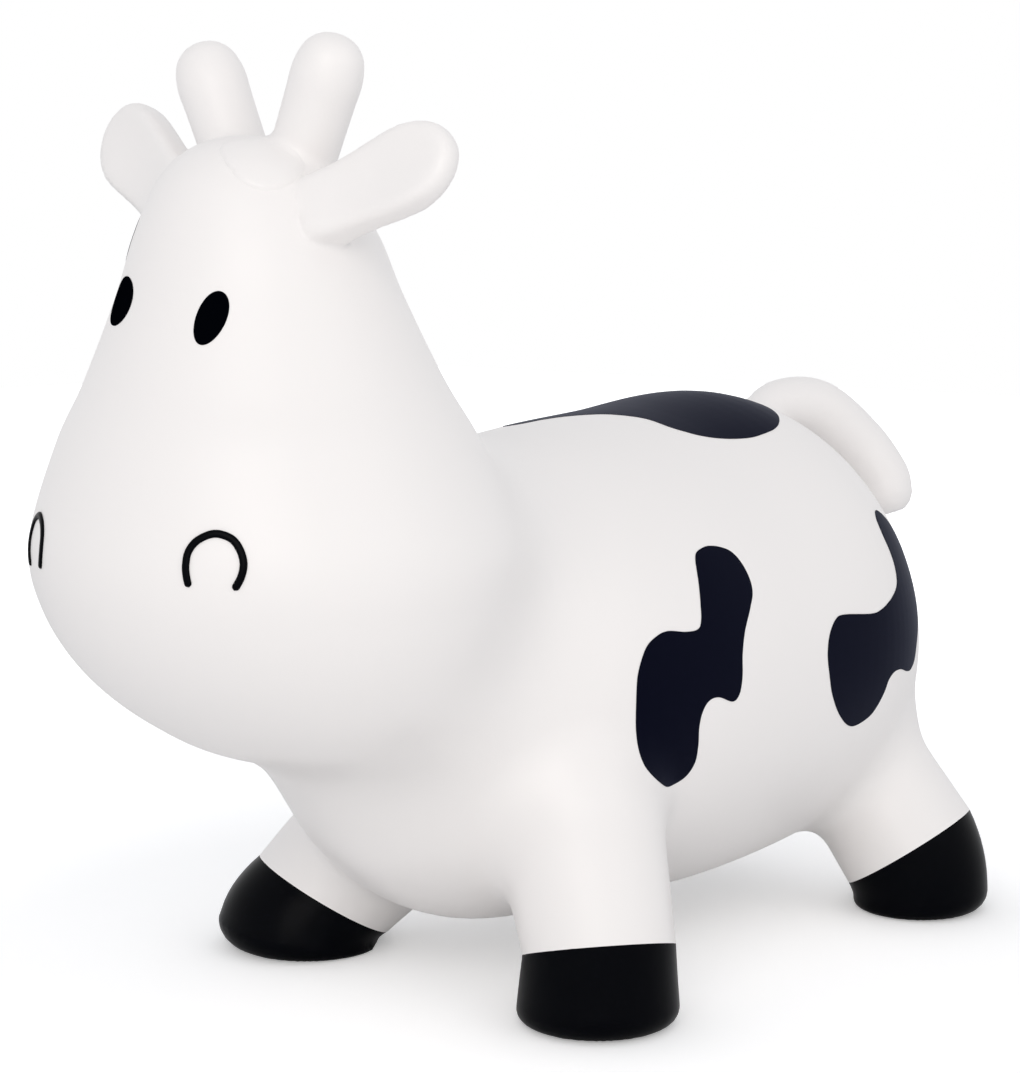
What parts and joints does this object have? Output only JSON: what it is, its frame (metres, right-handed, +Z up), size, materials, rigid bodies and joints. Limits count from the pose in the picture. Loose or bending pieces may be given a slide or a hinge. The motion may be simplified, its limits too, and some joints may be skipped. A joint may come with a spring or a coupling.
{
  "type": "inflated bouncy ride on cow",
  "caption": "Inflated soft-skinned ride on cow with a pear-shaped head, splayed legs, round horns, paddle ears, a short tail and a pull-out air plug.",
  "frame": {"origin": "on the floor, under the middle of the whole box", "axes": "+Z up; the cow faces -Y, so its left side is +X; all soles on Z = 0"},
  "size_m": [0.3125, 0.612, 0.4926],
  "materials": {
    "white_skin": "satin soft vinyl",
    "black_print": "sprayed satin vinyl paint",
    "black_hoof": "soft vinyl with glossy black paint",
    "plug_white": "plain soft vinyl"
  },
  "bodies": {
    "skin": {"torso": "white_skin", "head": "white_skin", "leg_front_left": "white_skin", "leg_front_right": "white_skin", "leg_hind_left": "white_skin", "leg_hind_right": "white_skin", "tail": "white_skin", "forelock": "white_skin", "eye_left": "black_print", "eye_right": "black_print", "nostril_left": "black_print", "nostril_right": "black_print", "patch_flank_left": "black_print", "patch_flank_right": "black_print", "patch_rump": "black_print", "patch_back": "black_print", "patch_brow": "black_print"},
    "horn_left": {"horn_left": "white_skin"},
    "horn_right": {"horn_right": "white_skin"},
    "ear_left": {"ear_left": "white_skin"},
    "ear_right": {"ear_right": "white_skin"},
    "hoof_front_left": {"hoof_front_left": "black_hoof"},
    "hoof_front_right": {"hoof_front_right": "black_hoof"},
    "hoof_hind_left": {"hoof_hind_left": "black_hoof"},
    "hoof_hind_right": {"hoof_hind_right": "black_hoof"},
    "air_plug": {"air_plug": "plug_white"}
  },
  "joints": [
    {"name": "horn_left_flex", "type": "hinge", "parent": "skin", "child": "horn_left", "pos_m": [0.0245, -0.188, 0.4345], "axis": [0, 1, 0], "range_deg": [-12, 12], "stiffness_Nm_per_rad": 0.6},
    {"name": "ear_left_flex", "type": "hinge", "parent": "skin", "child": "ear_left", "pos_m": [0.052, -0.201, 0.4135], "axis": [0.2778, -0.2568, -0.9257], "range_deg": [-12, 12], "stiffness_Nm_per_rad": 0.3},
    {"name": "horn_right_flex", "type": "hinge", "parent": "skin", "child": "horn_right", "pos_m": [-0.0245, -0.188, 0.4345], "axis": [0, 1, 0], "range_deg": [-12, 12], "stiffness_Nm_per_rad": 0.6},
    {"name": "ear_right_flex", "type": "hinge", "parent": "skin", "child": "ear_right", "pos_m": [-0.052, -0.201, 0.417], "axis": [0.4677, 0.2068, 0.8593], "range_deg": [-12, 12], "stiffness_Nm_per_rad": 0.3},
    {"name": "leg_front_left_press", "type": "slide", "parent": "skin", "child": "hoof_front_left", "axis": [0, 0, 1], "range_m": [0, 0.02], "stiffness_N_per_m": 2000, "springref_m": -0.004, "deforming": ["leg_front_left"]},
    {"name": "leg_front_right_press", "type": "slide", "parent": "skin", "child": "hoof_front_right", "axis": [0, 0, 1], "range_m": [0, 0.02], "stiffness_N_per_m": 2000, "springref_m": -0.004, "deforming": ["leg_front_right"]},
    {"name": "leg_hind_left_press", "type": "slide", "parent": "skin", "child": "hoof_hind_left", "axis": [0, 0, 1], "range_m": [0, 0.02], "stiffness_N_per_m": 2000, "springref_m": -0.004, "deforming": ["leg_hind_left"]},
    {"name": "leg_hind_right_press", "type": "slide", "parent": "skin", "child": "hoof_hind_right", "axis": [0, 0, 1], "range_m": [0, 0.02], "stiffness_N_per_m": 2000, "springref_m": -0.004, "deforming": ["leg_hind_right"]},
    {"name": "air_plug_pull", "type": "slide", "parent": "skin", "child": "air_plug", "axis": [0, 0.3102, -0.9507], "range_m": [0, 0.024]}
  ]
}
